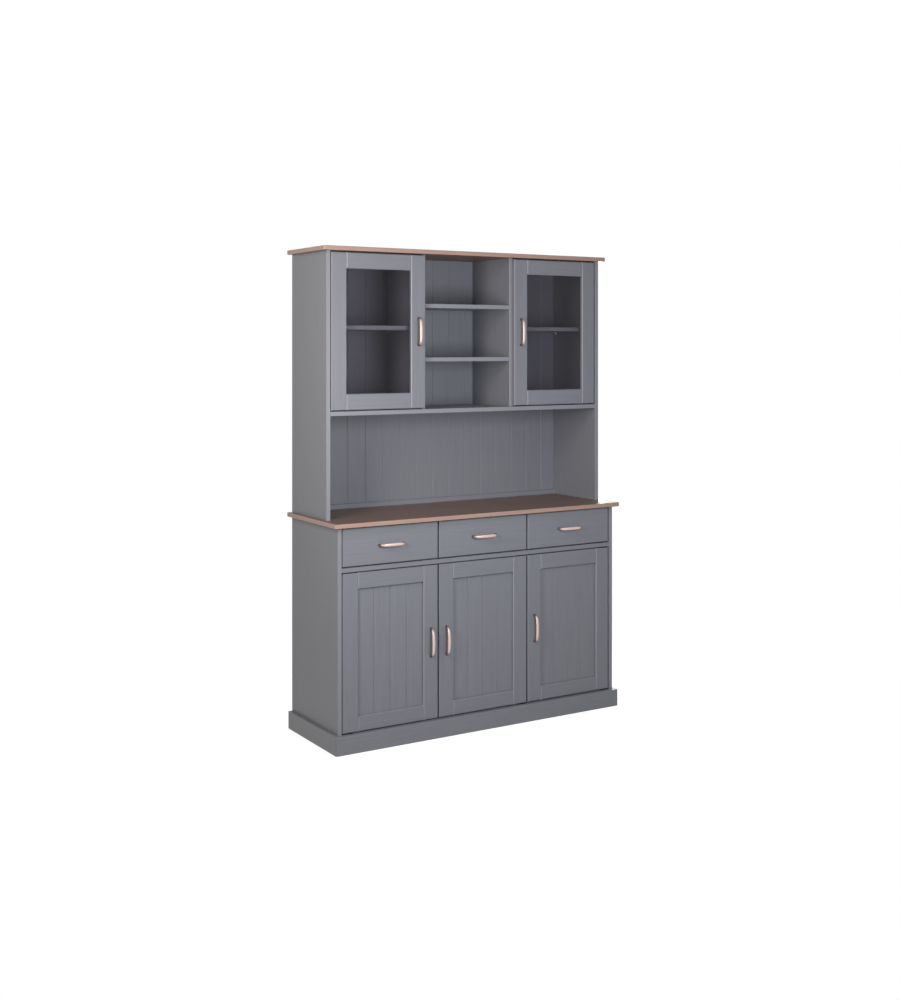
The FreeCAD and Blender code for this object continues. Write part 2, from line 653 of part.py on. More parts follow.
def carcass():
    """Every fixed piece of the base and the hutch, by node name."""
    pins = all_shelf_pins()
    tenons = hutch_tenons()
    y_base_partition = Y_BASE + DOOR_THICK + PARTITION_SETBACK
    y_hutch_partition = Y_HUTCH + DOOR_THICK + PARTITION_SETBACK
    y_worktop = Y_BASE - WORKTOP_FRONT_OVERHANG
    y_top = Y_HUTCH - TOP_FRONT_OVERHANG
    back_half = X_INNER + BACK_REBATE
    y_base_shelf = Y_BASE + DOOR_THICK + BASE_SHELF_SETBACK

    rail = block(-X_INNER, X_INNER, Y_BASE, Y_BASE + RAIL_DEPTH, Z_RAIL, Z_DRAWERS)
    floor = block(-X_INNER, X_INNER, Y_HUTCH, Y_PANEL, Z_HUTCH_FLOOR, Z_DISPLAY)
    back_rail = block(-X_INNER, X_INNER, Y_PANEL - BACK_RAIL_THICK, Y_PANEL,
                      WORKTOP_HEIGHT, WORKTOP_HEIGHT + BACK_RAIL_HEIGHT)
    back_rail_top = [e for e in edges_in_plane(back_rail, 1, Y_PANEL - BACK_RAIL_THICK, along=0)
                     if edge_span(e, 2)[0] > WORKTOP_HEIGHT + PLANE_TOLERANCE]
    worktop = overhanging_top(WORKTOP_SIDE_OVERHANG, y_worktop, Z_BASE, WORKTOP_HEIGHT)
    top = overhanging_top(TOP_SIDE_OVERHANG, y_top, Z_TOP, TOTAL_HEIGHT)

    nodes = {
        "base_bottom": block(-X_INNER, X_INNER, Y_BASE, Y_PANEL,
                             PLINTH_HEIGHT - BOARD, PLINTH_HEIGHT),
        "base_back": block(-back_half, back_half, Y_PANEL, Y_BACK,
                           PLINTH_HEIGHT - BOARD, Z_BASE),
        "front_rail": bevelled(rail, BOARD_EASE, 1, Y_BASE, along=0),
        "worktop": worktop.cut(tenons),
        "plinth_front": plinth_front(),
        "hutch_top": top.cut(tenons),
        "hutch_floor": eased(floor, BOARD_EASE, 1, Y_HUTCH, along=0),
        "hutch_back": beadboard(),
        "hutch_back_rail": back_rail.makeFillet(BACK_RAIL_ROUND, back_rail_top),
        "hutch_tenons": group(tenons),
        "hutch_shelves": group([shelf(bay, hutch_shelf_front(), Z_HUTCH_SHELF, SHELF_END_PLAY)
                                for bay in ("left", "right")]),
        "base_shelves": group([shelf(bay, y_base_shelf, Z_BASE_SHELF, 0) for bay in BAYS]),
        "cubby_shelf_lower": shelf("middle", y_hutch_partition, Z_LOW_CUBBY, 0),
        "cubby_shelf_upper": shelf("middle", y_hutch_partition, Z_HIGH_CUBBY, 0),
        "shelf_pins": group(pins),
        "drawer_runners": group(drawer_runners()),
        "pivot_pin_plates": group([carcass_pivot(d, end) for d in DOORS for end in (-1, 1)]),
        "door_catches": group([door_catch(d) for d in DOORS]),
    }
    for name, side in (("left", -1), ("right", 1)):
        x = side * X_PARTITION
        nodes["base_side_" + name] = side_panel(side, Y_BASE, 0, Z_BASE, [])
        nodes["hutch_side_" + name] = side_panel(side, Y_HUTCH, WORKTOP_HEIGHT, Z_TOP,
                                                 pins + tenons)
        nodes["plinth_side_" + name] = plinth_side(side)
        nodes["base_partition_" + name] = partition(x, y_base_partition, PLINTH_HEIGHT, Z_BASE,
                                                    [rail])
        nodes["hutch_partition_" + name] = partition(x, y_hutch_partition, Z_DISPLAY, Z_TOP, pins)
    return nodes


def doors():
    """The pieces of the five doors, by node name."""
    nodes = {}
    for door in DOORS:
        if door.startswith("hutch"):
            nodes[door + "_frame"], nodes[door + "_glass"] = glass_door(door)
        else:
            nodes[door + "_frame"], nodes[door + "_panel"] = panel_door(door)
        nodes[door + "_hardware"] = door_hardware(door)
        nodes[door + "_handle"] = door_handle(door)
    return nodes


def drawers():
    """The pieces of the three drawers, by node name."""
    nodes = {}
    z_middle = sum(DRAWER_Z) / 2
    for bay, centre in FRONT_CENTRES.items():
        name = "drawer_" + bay
        nodes[name + "_front"] = drawer_front(bay)
        nodes[name + "_box"] = drawer_box(bay)
        nodes[name + "_floor"] = drawer_floor(bay)
        nodes[name + "_handle"] = placed_handle(centre, Y_BASE, z_middle, level=True)
    return nodes


def main():
    """Write one file for each node."""
    os.makedirs("parts", exist_ok=True)
    nodes = {**carcass(), **doors(), **drawers()}
    for name, shape in nodes.items():
        for solid in shape.Solids:
            if not solid.isValid():
                print("not valid:", name)
        shape.exportStep("parts/" + name + ".step")
    print(len(nodes), "nodes,", sum(len(s.Solids) for s in nodes.values()), "solids")


main()
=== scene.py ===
"""Looks of the sideboard: grey painted base and hutch, brown boards, glazed doors, rose-brown bow handles.

Lengths in the tables are millimetres; a length that reaches Blender is in metres.
X runs along the front, Y to the back and Z up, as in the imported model.
"""

import math

import bmesh
import bpy
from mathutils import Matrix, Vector


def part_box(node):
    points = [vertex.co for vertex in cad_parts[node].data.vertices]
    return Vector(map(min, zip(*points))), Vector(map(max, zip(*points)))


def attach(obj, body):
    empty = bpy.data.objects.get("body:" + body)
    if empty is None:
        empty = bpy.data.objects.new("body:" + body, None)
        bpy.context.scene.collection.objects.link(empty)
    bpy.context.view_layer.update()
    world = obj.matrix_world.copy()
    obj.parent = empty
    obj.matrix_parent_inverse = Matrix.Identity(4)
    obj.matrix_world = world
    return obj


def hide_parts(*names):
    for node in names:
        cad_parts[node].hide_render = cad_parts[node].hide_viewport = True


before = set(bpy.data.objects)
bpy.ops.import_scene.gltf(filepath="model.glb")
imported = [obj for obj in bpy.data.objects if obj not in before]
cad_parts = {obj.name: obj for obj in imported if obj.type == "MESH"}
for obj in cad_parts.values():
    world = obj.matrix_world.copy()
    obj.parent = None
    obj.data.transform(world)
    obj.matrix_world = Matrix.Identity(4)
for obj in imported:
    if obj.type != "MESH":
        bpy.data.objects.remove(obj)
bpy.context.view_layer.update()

bl_info = {
    "name": "Sideboard finish and fittings",
    "version": (1, 0, 0),
    "blender": (4, 5, 0),
    "location": "View3D > Sidebar > Sideboard",
    "description": "Finishes the boards, models the handles and small fittings, and sets the stage",
    "category": "Object",
}

MM = 0.001
# Faces that meet at less than this angle are shaded as one smooth surface, and vertices closer than this
# distance are merged.
SMOOTH_ANGLE = math.radians(35)
SAME_SPOT = 0.01

DOORS = ("hutch_door_left", "hutch_door_right", "base_door_left", "base_door_middle", "base_door_right")
DRAWERS = ("drawer_left", "drawer_middle", "drawer_right")
# How thick a door's frame and a drawer's front are.
FRONT_THICK = 20

# Which way the wood runs under the paint: up, along the front (level boards and shelves), or to the back.
UPRIGHT_BOARDS = (
    "base_side_left", "base_side_right", "hutch_side_left", "hutch_side_right",
    "base_partition_left", "base_partition_right", "hutch_partition_left", "hutch_partition_right",
    "base_door_left_panel", "base_door_middle_panel", "base_door_right_panel",
)
LEVEL_BOARDS = (
    "front_rail", "plinth_front", "hutch_back_rail",
    "drawer_left_front", "drawer_middle_front", "drawer_right_front",
)
SHELF_BOARDS = (
    "base_bottom", "hutch_floor", "hutch_shelves", "base_shelves", "cubby_shelf_lower", "cubby_shelf_upper",
)
DEEP_BOARDS = ("plinth_side_left", "plinth_side_right")
DOOR_FRAMES = tuple(door + "_frame" for door in DOORS)

# Where the fronts of the doors, and the front edges of the upright boards and of the shelves, stand in Y.
FRONT_PLANES = (-99, -199)
# The front edges on these planes carry a painted highlight.
UPRIGHT_EDGE_HIGHLIGHTS = (-99, -199, -77, -177)
SHELF_EDGE_HIGHLIGHTS = (-99, -199, -77, -59, -129)
# How far the painted highlight of a front edge, and that of an arris, reach from their planes.
EDGE_HIGHLIGHT_REACH = 1.7
ARRIS_HIGHLIGHT_REACH = 3.1

# The doors stand side by side at this pitch, and a rail reaches this far from a door's middle to its stiles.
DOOR_PITCH = 439.333
RAIL_REACH = 148.667

# The bay's wall that carries each catch, the way out from that wall, and the catch's middle in Y and Z.
CATCHES = (
    (-228.667, -1, -62.2, 1878), (228.667, 1, -62.2, 1878),
    (-228.667, -1, -162.2, 611), (-210.667, 1, -162.2, 611), (228.667, 1, -162.2, 611),
)
# How wide a catch is, half its depth, and how far above and below its middle the screws stand.
CATCH_WIDTH = 14
CATCH_HALF_DEPTH = 15
CATCH_SCREW_RISES = (-12, 12)
# How far from the wall a catch's two pole strips stand, their size, and the rounding of their corners.
POLE_STRIPS = (4.5, 9.5)
POLE_STRIP_SIZE = (1.8, 0.3, 30)
POLE_STRIP_ROUNDING = 0.7
# How high the heads of the screws and the bumpers stand, and the rounding of a bumper's rim.
HANDLE_SCREW_HEIGHT = 2.2
CATCH_SCREW_HEIGHT = 1.3
BUMPER_HEIGHT = 1.5
BUMPER_ROUNDING = 0.5

# What stands in front of the partitions and rests on bumpers: the middle of its lap, its partition's face and
# the bumpers' heights.
LAPS = (
    (-225.667, -77, (1395, 1908)), (225.667, -77, (1395, 1908)),
    (-225.667, -177, (136, 641)), (-213.667, -177, (136, 641)), (225.667, -177, (136, 641)),
    (-225.667, -177, (745, 860)), (-213.667, -177, (745, 860)),
    (213.667, -177, (745, 860)), (225.667, -177, (745, 860)),
)
# The brads that hold the back panels: where their rows stand, how far apart they are in a row up and down and
# in one along the front, and a head's radius and colour.
BRAD_COLUMNS = (664.5, 219.667)
BRAD_ROWS = (63, 714, 891, 1322, 1963)
BRAD_PITCH_UP = 120
BRAD_PITCH_ALONG = 110
BRAD_RADIUS = 2.8
BRAD_TONE = "#B9B6B0"

# The handles stand on faces 99 and 199 mm in front of the origin. Y, turned round and wrapped between these
# two, is the same on both, and the plating goes from brown to bright between the crown's two.
HANDLE_WRAP = (195, 95)
CROWN = (112, 123.2)

# The walls beside the hutch's loose shelves, each with the way out from it, and where their supports stand.
SHELF_WALLS = ((-660, 1), (-228.667, -1), (228.667, 1), (660, -1))
SUPPORT_DEPTHS = (197, -24)
SHELF_UNDERSIDE = 1657.9
SUPPORT_THICK = 2.2
SUPPORT_ROLL = 0.9

# The photograph's size and its principal point, in pixels, and the sensor's width in millimetres.
PICTURE = (900, 1000)
PRINCIPAL_POINT = (453.09, 346.39)
SENSOR_WIDTH = 36

# In metres: the floor's radius, and where it starts and ends its way to white.
FLOOR_RADIUS = 14
FLOOR_FADE = (0.8, 2.2)
# How much the near floor is lifted towards white under the shadow.
FLOOR_LIFT = 0.85
# The colours of the lamps and of the even room light, and the spot in metres that the lamps are turned to.
# The side lamp looks level.
LAMP_TONES = {"side": "#FFF8F4", "front": "#F8FAFF", "rear": "#FFFCF8"}
ROOM_TONE = "#FFFAF7"
LAMP_AIM = (0.0, -0.1, 1.1)
WHITE = (1, 1, 1, 1)


def tone(code):
    """A colour written as sRGB hex, as the linear values that the shaders and the colour settings take."""
    parts = (int(code[i:i + 2], 16) / 255 for i in (1, 3, 5))
    return tuple(p / 12.92 if p <= 0.04045 else ((p + 0.055) / 1.055) ** 2.4 for p in parts)


def solid(colour, share=1.0):
    """A colour for a shader socket, lightened or darkened by a share."""
    return tuple(min(c * share, 1.0) for c in colour) + (1.0,)


# Settings


def colour_setting(name, what, code):
    """A colour in the settings, given as sRGB hex."""
    return bpy.props.FloatVectorProperty(
        name=name, description=what, subtype="COLOR", min=0, max=1, default=tone(code))


def length_setting(name, what, least, most, usual):
    """A length in the settings, given in millimetres."""
    return bpy.props.FloatProperty(
        name=name, description=what, subtype="DISTANCE", unit="LENGTH", min=least * MM, max=most * MM,
        default=usual * MM)


def power_setting(name, what, watts):
    """A lamp's power."""
    return bpy.props.FloatProperty(
        name=name, description=what, subtype="POWER", unit="POWER", min=0, default=watts)


def place_setting(name, what, place):
    """Where a lamp or the camera stands, in metres."""
    return bpy.props.FloatVectorProperty(
        name=name, description=what, subtype="TRANSLATION", unit="LENGTH", default=place)


def side_setting(name, what, metres):
    """A lamp's width or height."""
    return bpy.props.FloatProperty(
        name=name, description=what, subtype="DISTANCE", unit="LENGTH", min=0.1, default=metres)


class SideboardFinish(bpy.types.PropertyGroup):
    """The colours of the boards and fittings."""

    paint: colour_setting("Grey paint", "The satin paint of the carcass, doors and drawer fronts", "#8B8D94")
    stain: colour_setting("Brown stain", "The stained top boards, at their middle tone", "#85695C")
    # Painted light: the paler tone of the stained boards' upright faces, standing in for the light on them.
    stain_lit_sides: colour_setting(
        "Brown edges", "The edges of the stained boards, where less stain was left", "#BD9D8F")
    pale_wood: colour_setting("Pale wood", "The drawer boxes and battens under clear matt lacquer", "#C9AB84")
    raw_board: colour_setting("Raw board", "The unpainted rear of the back panels", "#9A8163")
    copper: colour_setting("Copper", "The handles' plating where hands keep it bright", "#CDB6AD")
    patina: colour_setting("Patina", "The handles' plating where it has darkened", "#7E6D67")
    grain_depth: bpy.props.FloatProperty(
        name="Grain depth", description="How deep the grain shows through the paint",
        subtype="DISTANCE", unit="LENGTH", min=0, max=0.001, default=0.12 * MM, precision=5)


class SideboardHandle(bpy.types.PropertyGroup):
    """The sizes of a bow handle."""

    length: length_setting("Length", "From end to end over both feet", 60, 200, 122)
    reach: length_setting("Reach", "From the door's face to the front of the grip", 15, 50, 27)
    grip_width: length_setting("Grip width", "Across the grip at its middle", 6, 30, 13)
    grip_thickness: length_setting("Grip thickness", "From the front of the grip to its back", 3, 15, 6)
    foot_width: length_setting("Foot width", "Across a foot, where it meets the door", 4, 20, 11)
    foot_length: length_setting("Foot length", "Along the handle, where a foot meets the door", 6, 30, 12)


class SideboardFittings(bpy.types.PropertyGroup):
    """The sizes of the screws, bumpers and shelf supports."""

    screw_head: length_setting("Handle screw head", "Across the pan head of a handle's screw", 4, 12, 8)
    small_head: length_setting("Small screw head", "Across the head of a catch's screw", 3, 8, 5.5)
    bumper: length_setting("Bumper", "Across the clear dot that a door closes against", 3, 6, 5)
    support_width: length_setting("Support width", "Across the spoon of a shelf support", 8, 16, 12)
    support_drop: length_setting("Support drop", "How far a shelf support reaches down the wall", 10, 20, 15)


class SideboardStage(bpy.types.PropertyGroup):
    """The lamps, floor and camera."""

    side_power: power_setting("Side lamp", "Power of the soft lamp at the left", 30)
    side_place: place_setting("Side lamp place", "Where the side lamp stands", (-2.05, -1.12, 1.85))
    side_size: side_setting("Side lamp width", "Width of the tall side lamp", 0.5)
    side_height: side_setting("Side lamp height", "Height of the tall side lamp", 1.6)
    front_power: power_setting("Front lamp", "Power of the large lamp in front", 26)
    front_place: place_setting("Front lamp place", "Where the front lamp stands", (-0.31, -2.15, 1.45))
    front_size: side_setting("Front lamp size", "Side of the square front lamp", 0.9)
    rear_power: power_setting(
        "Rear lamp", "Power of the soft lamp behind, which the photograph's view doesn't meet", 65)
    rear_place: place_setting("Rear lamp place", "Where the rear lamp stands", (2.1, 2.6, 1.4))
    rear_size: side_setting("Rear lamp size", "Side of the square rear lamp", 1.1)
    fill: bpy.props.FloatProperty(
        name="Room light", description="Strength of the even light from all round",
        min=0, max=2, default=0.03)
    floor: colour_setting("Floor", "The plain pale floor", "#9C9C9A")
    camera_place: place_setting("Camera place", "Where the camera stands", (-2.9450, -4.7466, 1.5907))
    camera_turn: bpy.props.FloatProperty(
        name="Camera turn", description="How far the camera looks to the right of straight ahead",
        subtype="ANGLE", unit="ROTATION", default=math.radians(31.568))
    camera_lens: bpy.props.FloatProperty(
        name="Lens", description="Focal length on a 36 mm wide sensor",
        unit="CAMERA", min=10, default=51.996)


# Materials


def add(tree, kind, settings=None, feeds=None):
    """Adds one node, sets its own settings, and gives its sockets their values or links."""
    made = tree.nodes.new(kind)
    for key, value in (settings or {}).items():
        setattr(made, key, value)
    for key, value in (feeds or {}).items():
        if isinstance(value, bpy.types.NodeSocket):
            tree.links.new(value, made.inputs[key])
        else:
            made.inputs[key].default_value = value
    return made


def blank(name):
    """A new material with an empty tree and its output node."""
    material = bpy.data.materials.new(name)
    material.use_nodes = True
    tree = material.node_tree
    tree.nodes.clear()
    return material, tree, add(tree, "ShaderNodeOutputMaterial")


def maths(tree, operation, *values, clamp=False):
    """The outcome of one operation on values or sockets."""
    made = add(tree, "ShaderNodeMath", {"operation": operation, "use_clamp": clamp}, dict(enumerate(values)))
    return made.outputs[0]


def place_in(tree):
    """Where a point is, as outputs X, Y and Z."""
    place = add(tree, "ShaderNodeTexCoord").outputs["Object"]
    return add(tree, "ShaderNodeSeparateXYZ", {}, {0: place}).outputs


def facing(tree):
    """The way that a point's face looks, as outputs X, Y and Z."""
    normal = add(tree, "ShaderNodeNewGeometry").outputs["Normal"]
    return add(tree, "ShaderNodeSeparateXYZ", {}, {0: normal}).outputs


def pattern(tree, sizes, detail=2.0, distortion=0.0, roughness=0.5):
    """A noise whose marks are about as long as the sizes, in millimetres along X, Y and Z."""
    place = add(tree, "ShaderNodeTexCoord").outputs["Object"]
    drawn = add(tree, "ShaderNodeMapping", {}, {"Vector": place, "Scale": tuple(1 / (s * MM) for s in sizes)})
    noise = add(tree, "ShaderNodeTexNoise", {}, {
        "Vector": drawn.outputs[0], "Scale": 1.0, "Detail": detail, "Distortion": distortion,
        "Roughness": roughness})
    return noise.outputs[0]


def along(direction, length, width):
    """Sizes of a mark that is long in one direction, X, Y or Z."""
    return tuple(length if axis == direction else width for axis in "XYZ")


def spread(tree, value, low, high, start=0.3, end=0.7):
    """Stretches the middle of a pattern to run from low to high."""
    return add(tree, "ShaderNodeMapRange", {}, {
        "Value": value, "From Min": start, "From Max": end, "To Min": low, "To Max": high}).outputs[0]


def blend(tree, factor, one, other):
    """Mixes two colours, or two values, by a factor."""
    if isinstance(one, bpy.types.NodeSocket) and one.type == "VALUE" or isinstance(one, float):
        return add(tree, "ShaderNodeMix", {"data_type": "FLOAT"}, {0: factor, 2: one, 3: other}).outputs[0]
    return add(tree, "ShaderNodeMix", {"data_type": "RGBA"}, {0: factor, 6: one, 7: other}).outputs[2]


def shaded(tree, value, colour, low, high):
    """A colour that goes from one share of itself to another over the middle of a pattern."""
    return blend(tree, spread(tree, value, 0.0, 1.0), solid(colour, low), solid(colour, high))


def surface(tree, end, colour, gloss, body, height, strength, depth):
    """Ends a material with one shader. Its body is metal or has an index, and its bumps follow the height."""
    bump = add(tree, "ShaderNodeBump", {}, {"Strength": strength, "Distance": depth, "Height": height})
    shader = add(tree, "ShaderNodeBsdfPrincipled", {}, {
        "Base Color": colour, "Roughness": gloss, **body, "Normal": bump.outputs[0]})
    tree.links.new(shader.outputs[0], end.inputs[0])


def either(tree, one, other):
    """1 where either mask is."""
    return maths(tree, "MAXIMUM", one, other)


def both(tree, one, other):
    """1 where both masks are."""
    return maths(tree, "MINIMUM", one, other)


def door_reach(tree):
    """How far a point is from its own door's middle, to the left or the right."""
    across = place_in(tree)["X"]
    nearest = maths(tree, "SNAP", maths(tree, "ADD", across, DOOR_PITCH * MM / 2), DOOR_PITCH * MM)
    return maths(tree, "ABSOLUTE", maths(tree, "SUBTRACT", across, nearest))


def rail_mask(tree):
    """1 on a door's rails and 0 on its stiles."""
    return maths(tree, "LESS_THAN", door_reach(tree), RAIL_REACH * MM)


def place_mask(tree, value, places, reach):
    """1 where a value is no further than the reach from one of the places."""
    found = 0.0
    for place in places:
        off = maths(tree, "ABSOLUTE", maths(tree, "SUBTRACT", value, place * MM))
        found = either(tree, found, maths(tree, "LESS_THAN", off, reach * MM))
    return found


def front_mask(tree):
    """1 on faces and bevels that look to the front."""
    return maths(tree, "LESS_THAN", facing(tree)["Y"], -0.5)


def rear_mask(tree):
    """1 on faces that look to the back."""
    return maths(tree, "GREATER_THAN", facing(tree)["Y"], 0.5)


def near(tree, one, other):
    """1 where two offsets together are less than the radius of a brad's head."""
    spot = add(tree, "ShaderNodeCombineXYZ", {}, {0: one, 1: other}).outputs[0]
    reach = add(tree, "ShaderNodeVectorMath", {"operation": "LENGTH"}, {0: spot}).outputs["Value"]
    return maths(tree, "LESS_THAN", reach, BRAD_RADIUS * MM)


def brad_mask(tree):
    """1 on the heads of the brads that hold the back panels, in rows up and down and along the front."""
    place = place_in(tree)
    across = maths(tree, "ABSOLUTE", place["X"])
    found = 0.0
    for column in BRAD_COLUMNS:
        off = maths(tree, "SUBTRACT", across, column * MM)
        step = maths(tree, "PINGPONG", place["Z"], BRAD_PITCH_UP * MM / 2)
        found = either(tree, found, near(tree, off, step))
    for row in BRAD_ROWS:
        off = maths(tree, "SUBTRACT", place["Z"], row * MM)
        step = maths(tree, "PINGPONG", across, BRAD_PITCH_ALONG * MM / 2)
        found = either(tree, found, near(tree, off, step))
    return found


def bare_board(tree, finish, fibre, low):
    """Raw brown fibre, as dark as this share of its colour in places, with the heads of the brads in it."""
    bare = shaded(tree, fibre, finish.raw_board, low, 1.1)
    return blend(tree, brad_mask(tree), bare, solid(tone(BRAD_TONE)))


def first_look(tree):
    """1 where the camera, a gloss or a pane looks, until the light has left a matt surface."""
    ray = add(tree, "ShaderNodeLightPath").outputs
    seen = ray["Is Camera Ray"]
    for way in ("Is Glossy Ray", "Is Transmission Ray"):
        seen = either(tree, seen, ray[way])
    return maths(tree, "MULTIPLY", seen, maths(tree, "LESS_THAN", ray["Diffuse Depth"], 0.5))


def satin_paint(name, grain, finish, bare_rear=False, highlit_edges=()):
    """Satin alkyd paint sprayed on pine and board.

    The coat follows the wood's grain, so the eye gets faint streaks in tone and gloss along each board.
    """
    material, tree, end = blank(name)
    directions = ("Z", "X") if grain == "FRAME" else (grain,)
    marks = []
    for direction in directions:
        # Streaks of early and late wood, 6 mm wide and a hand long; real ones of 1 to 3 mm would not show.
        streak = pattern(tree, along(direction, 260, 6), detail=3.0, roughness=0.6)
        # Pores under the coat, 1.6 mm wide where real ones are 0.3 mm, so that they show at all.
        pore = pattern(tree, along(direction, 45, 1.6), detail=2.0)
        # Boards differ a little in tone over a few hand widths.
        cloud = pattern(tree, along(direction, 900, 140), detail=1.0)
        marks.append((streak, pore, cloud))
    if grain == "FRAME":
        mask = rail_mask(tree)
        streak, pore, cloud = (blend(tree, mask, a, b) for a, b in zip(*marks))
    else:
        streak, pore, cloud = marks[0]
    streaked = shaded(tree, streak, finish.paint, 0.93, 1.06)
    colour = blend(tree, spread(tree, cloud, 0.0, 0.35), streaked, solid(finish.paint, 0.97))
    gloss = spread(tree, streak, 0.36, 0.44)
    if grain == "FRAME":
        # Painted highlight on the front arrises where rails meet stiles, for the light their bevels catch.
        arris = both(tree, place_mask(tree, door_reach(tree), (RAIL_REACH,), ARRIS_HIGHLIGHT_REACH),
                     place_mask(tree, place_in(tree)["Y"], FRONT_PLANES, ARRIS_HIGHLIGHT_REACH))
        colour = blend(tree, arris, colour, solid(finish.paint, 1.35))
    if highlit_edges:
        # Painted highlight: the boards' front edges are a shade paler, for the light that falls on them.
        edge_highlight = both(tree, place_mask(tree, place_in(tree)["Y"], highlit_edges, EDGE_HIGHLIGHT_REACH), front_mask(tree))
        colour = blend(tree, edge_highlight, colour, solid(finish.paint, 1.18))
    if bare_rear:
        rear = rear_mask(tree)
        fibre = pattern(tree, (5, 5, 5), detail=6.0, roughness=0.7)
        colour = blend(tree, rear, colour, bare_board(tree, finish, fibre, 0.86))
        gloss = blend(tree, rear, gloss, 0.85)
    height = blend(tree, 0.45, pore, streak)
    surface(tree, end, colour, gloss, {"IOR": 1.45}, height, strength=0.6, depth=finish.grain_depth)
    return material


def stained_board(name, finish):
    """Solid pine, stained brown, under satin lacquer.

    The stain sinks into the soft early wood, so the eye gets long dark and light bands, with pores along the
    board.
    """
    material, tree, end = blank(name)
    # Bands of the sawn rings, 22 mm wide and half a metre long, a little wavy.
    band = pattern(tree, along("X", 520, 22), detail=3.0, distortion=0.6, roughness=0.55)
    # Grain lines, 3 mm wide where real ones are 1 mm, so that they show.
    line = pattern(tree, along("X", 140, 3), detail=3.0, roughness=0.65)
    pore = pattern(tree, along("X", 14, 0.9), detail=1.0)
    wide = shaded(tree, band, finish.stain, 0.78, 1.14)
    flat = blend(tree, spread(tree, line, 0.0, 0.55, 0.35, 0.75), wide, solid(finish.stain, 0.66))
    # Painted light and shade: upright faces get the pale tone and level faces the dark stain.
    rim = shaded(tree, line, finish.stain_lit_sides, 1.08, 0.88)
    level = maths(tree, "ABSOLUTE", facing(tree)["Z"])
    colour = blend(tree, spread(tree, level, 0.0, 1.0, 0.6, 0.95), rim, flat)
    gloss = spread(tree, line, 0.34, 0.48)
    height = blend(tree, 0.5, pore, line)
    surface(tree, end, colour, gloss, {"IOR": 1.5}, height, strength=0.5, depth=0.1 * MM)
    return material


def pale_lacquered_wood(name, finish):
    """Planed pine under clear matt lacquer, with its grain to the back, for the drawer boxes.

    The eye gets warm pale wood with soft rings.
    """
    material, tree, end = blank(name)
    band = pattern(tree, along("Y", 420, 14), detail=3.0, distortion=0.5)
    line = pattern(tree, along("Y", 90, 2.2), detail=2.0)
    wide = shaded(tree, band, finish.pale_wood, 1.08, 0.84)
    colour = blend(tree, spread(tree, line, 0.0, 0.35), wide, solid(finish.pale_wood, 0.72))
    gloss = spread(tree, line, 0.52, 0.66)
    surface(tree, end, colour, gloss, {"IOR": 1.5}, line, strength=0.5, depth=0.08 * MM)
    return material


def hardboard(name, finish):
    """Wet-pressed hardboard, raw at the rear and primed in the paint's tone inside.

    The eye gets fine brown fibre.
    """
    material, tree, end = blank(name)
    fibre = pattern(tree, (4, 4, 4), detail=6.0, roughness=0.75)
    primed = shaded(tree, fibre, finish.paint, 0.94, 1.04)
    rear = rear_mask(tree)
    colour = blend(tree, rear, primed, bare_board(tree, finish, fibre, 0.84))
    gloss = blend(tree, rear, 0.55, 0.85)
    surface(tree, end, colour, gloss, {"IOR": 1.5}, fibre, strength=0.4, depth=0.1 * MM)
    return material


def float_glass(name):
    """Clear float glass, fire polished.

    The eye gets a faint clean gloss, and light goes straight through the pane.
    """
    material, tree, end = blank(name)
    # Finger and cloth marks, a few centimetres wide, take a little off the polish.
    haze = pattern(tree, (45, 45, 45), detail=3.0)
    shader = add(tree, "ShaderNodeBsdfPrincipled", {}, {
        "Base Color": solid(tone("#EAE8EC")), "Roughness": spread(tree, haze, 0.0, 0.006),
        "IOR": 1.2, "Transmission Weight": 1.0})
    # Lamps and the matt walls behind the pane see each other through it unbent, which also keeps it free of
    # grain.
    open_way = add(tree, "ShaderNodeBsdfTransparent", {}, {"Color": solid(tone("#D4D2D7"))})
    ray = add(tree, "ShaderNodeLightPath").outputs
    light = either(tree, ray["Is Shadow Ray"], ray["Is Diffuse Ray"])
    mix = add(tree, "ShaderNodeMixShader", {}, {0: light, 1: shader.outputs[0], 2: open_way.outputs[0]})
    tree.links.new(mix.outputs[0], end.inputs[0])
    return material


def antique_copper(name, finish):
    """Die-cast zinc, copper plated, darkened and rubbed back.

    Hands keep the crown bright and rosy, and the feet stay brown, with fine rubbing marks in the gloss.
    """
    material, tree, end = blank(name)
    most, least = (side * MM for side in HANDLE_WRAP)
    out = maths(tree, "WRAP", maths(tree, "MULTIPLY", place_in(tree)["Y"], -1.0), most, least)
    crown = spread(tree, out, 0.0, 1.0, *(reach * MM for reach in CROWN))
    stain = pattern(tree, (7, 7, 7), detail=4.0, roughness=0.65)
    rubbed = pattern(tree, (2.5, 2.5, 2.5), detail=2.0)
    worn = maths(tree, "MULTIPLY", crown, spread(tree, stain, 0.75, 1.15), clamp=True)
    colour = blend(tree, worn, solid(finish.patina), solid(finish.copper))
    gloss = spread(tree, rubbed, 0.48, 0.6)
    surface(tree, end, colour, gloss, {"Metallic": 1.0}, rubbed, strength=0.3, depth=0.05 * MM)
    return material


def blotched_steel(name, size, codes, low, high):
    """Pressed steel whose plating or oil leaves blotches, from one colour and gloss to another."""
    material, tree, end = blank(name)
    blotch = pattern(tree, (size,) * 3, detail=4.0)
    colour = blend(tree, spread(tree, blotch, 0.0, 1.0), *(solid(tone(code)) for code in codes))
    gloss = spread(tree, blotch, low, high)
    surface(tree, end, colour, gloss, {"Metallic": 1.0}, blotch, strength=0.2, depth=0.03 * MM)
    return material


def zinc_plated_steel(name):
    """Pressed steel, bright zinc plated and passivated. The eye gets a dull silver with soft blotches."""
    return blotched_steel(name, 9, ("#A9ADB0", "#C6C8C9"), 0.3, 0.45)


def browned_steel(name):
    """Pressed steel, chemically browned and oiled. The eye gets a near black metal with a soft warm gloss."""
    return blotched_steel(name, 6, ("#2B2724", "#3A3531"), 0.4, 0.55)


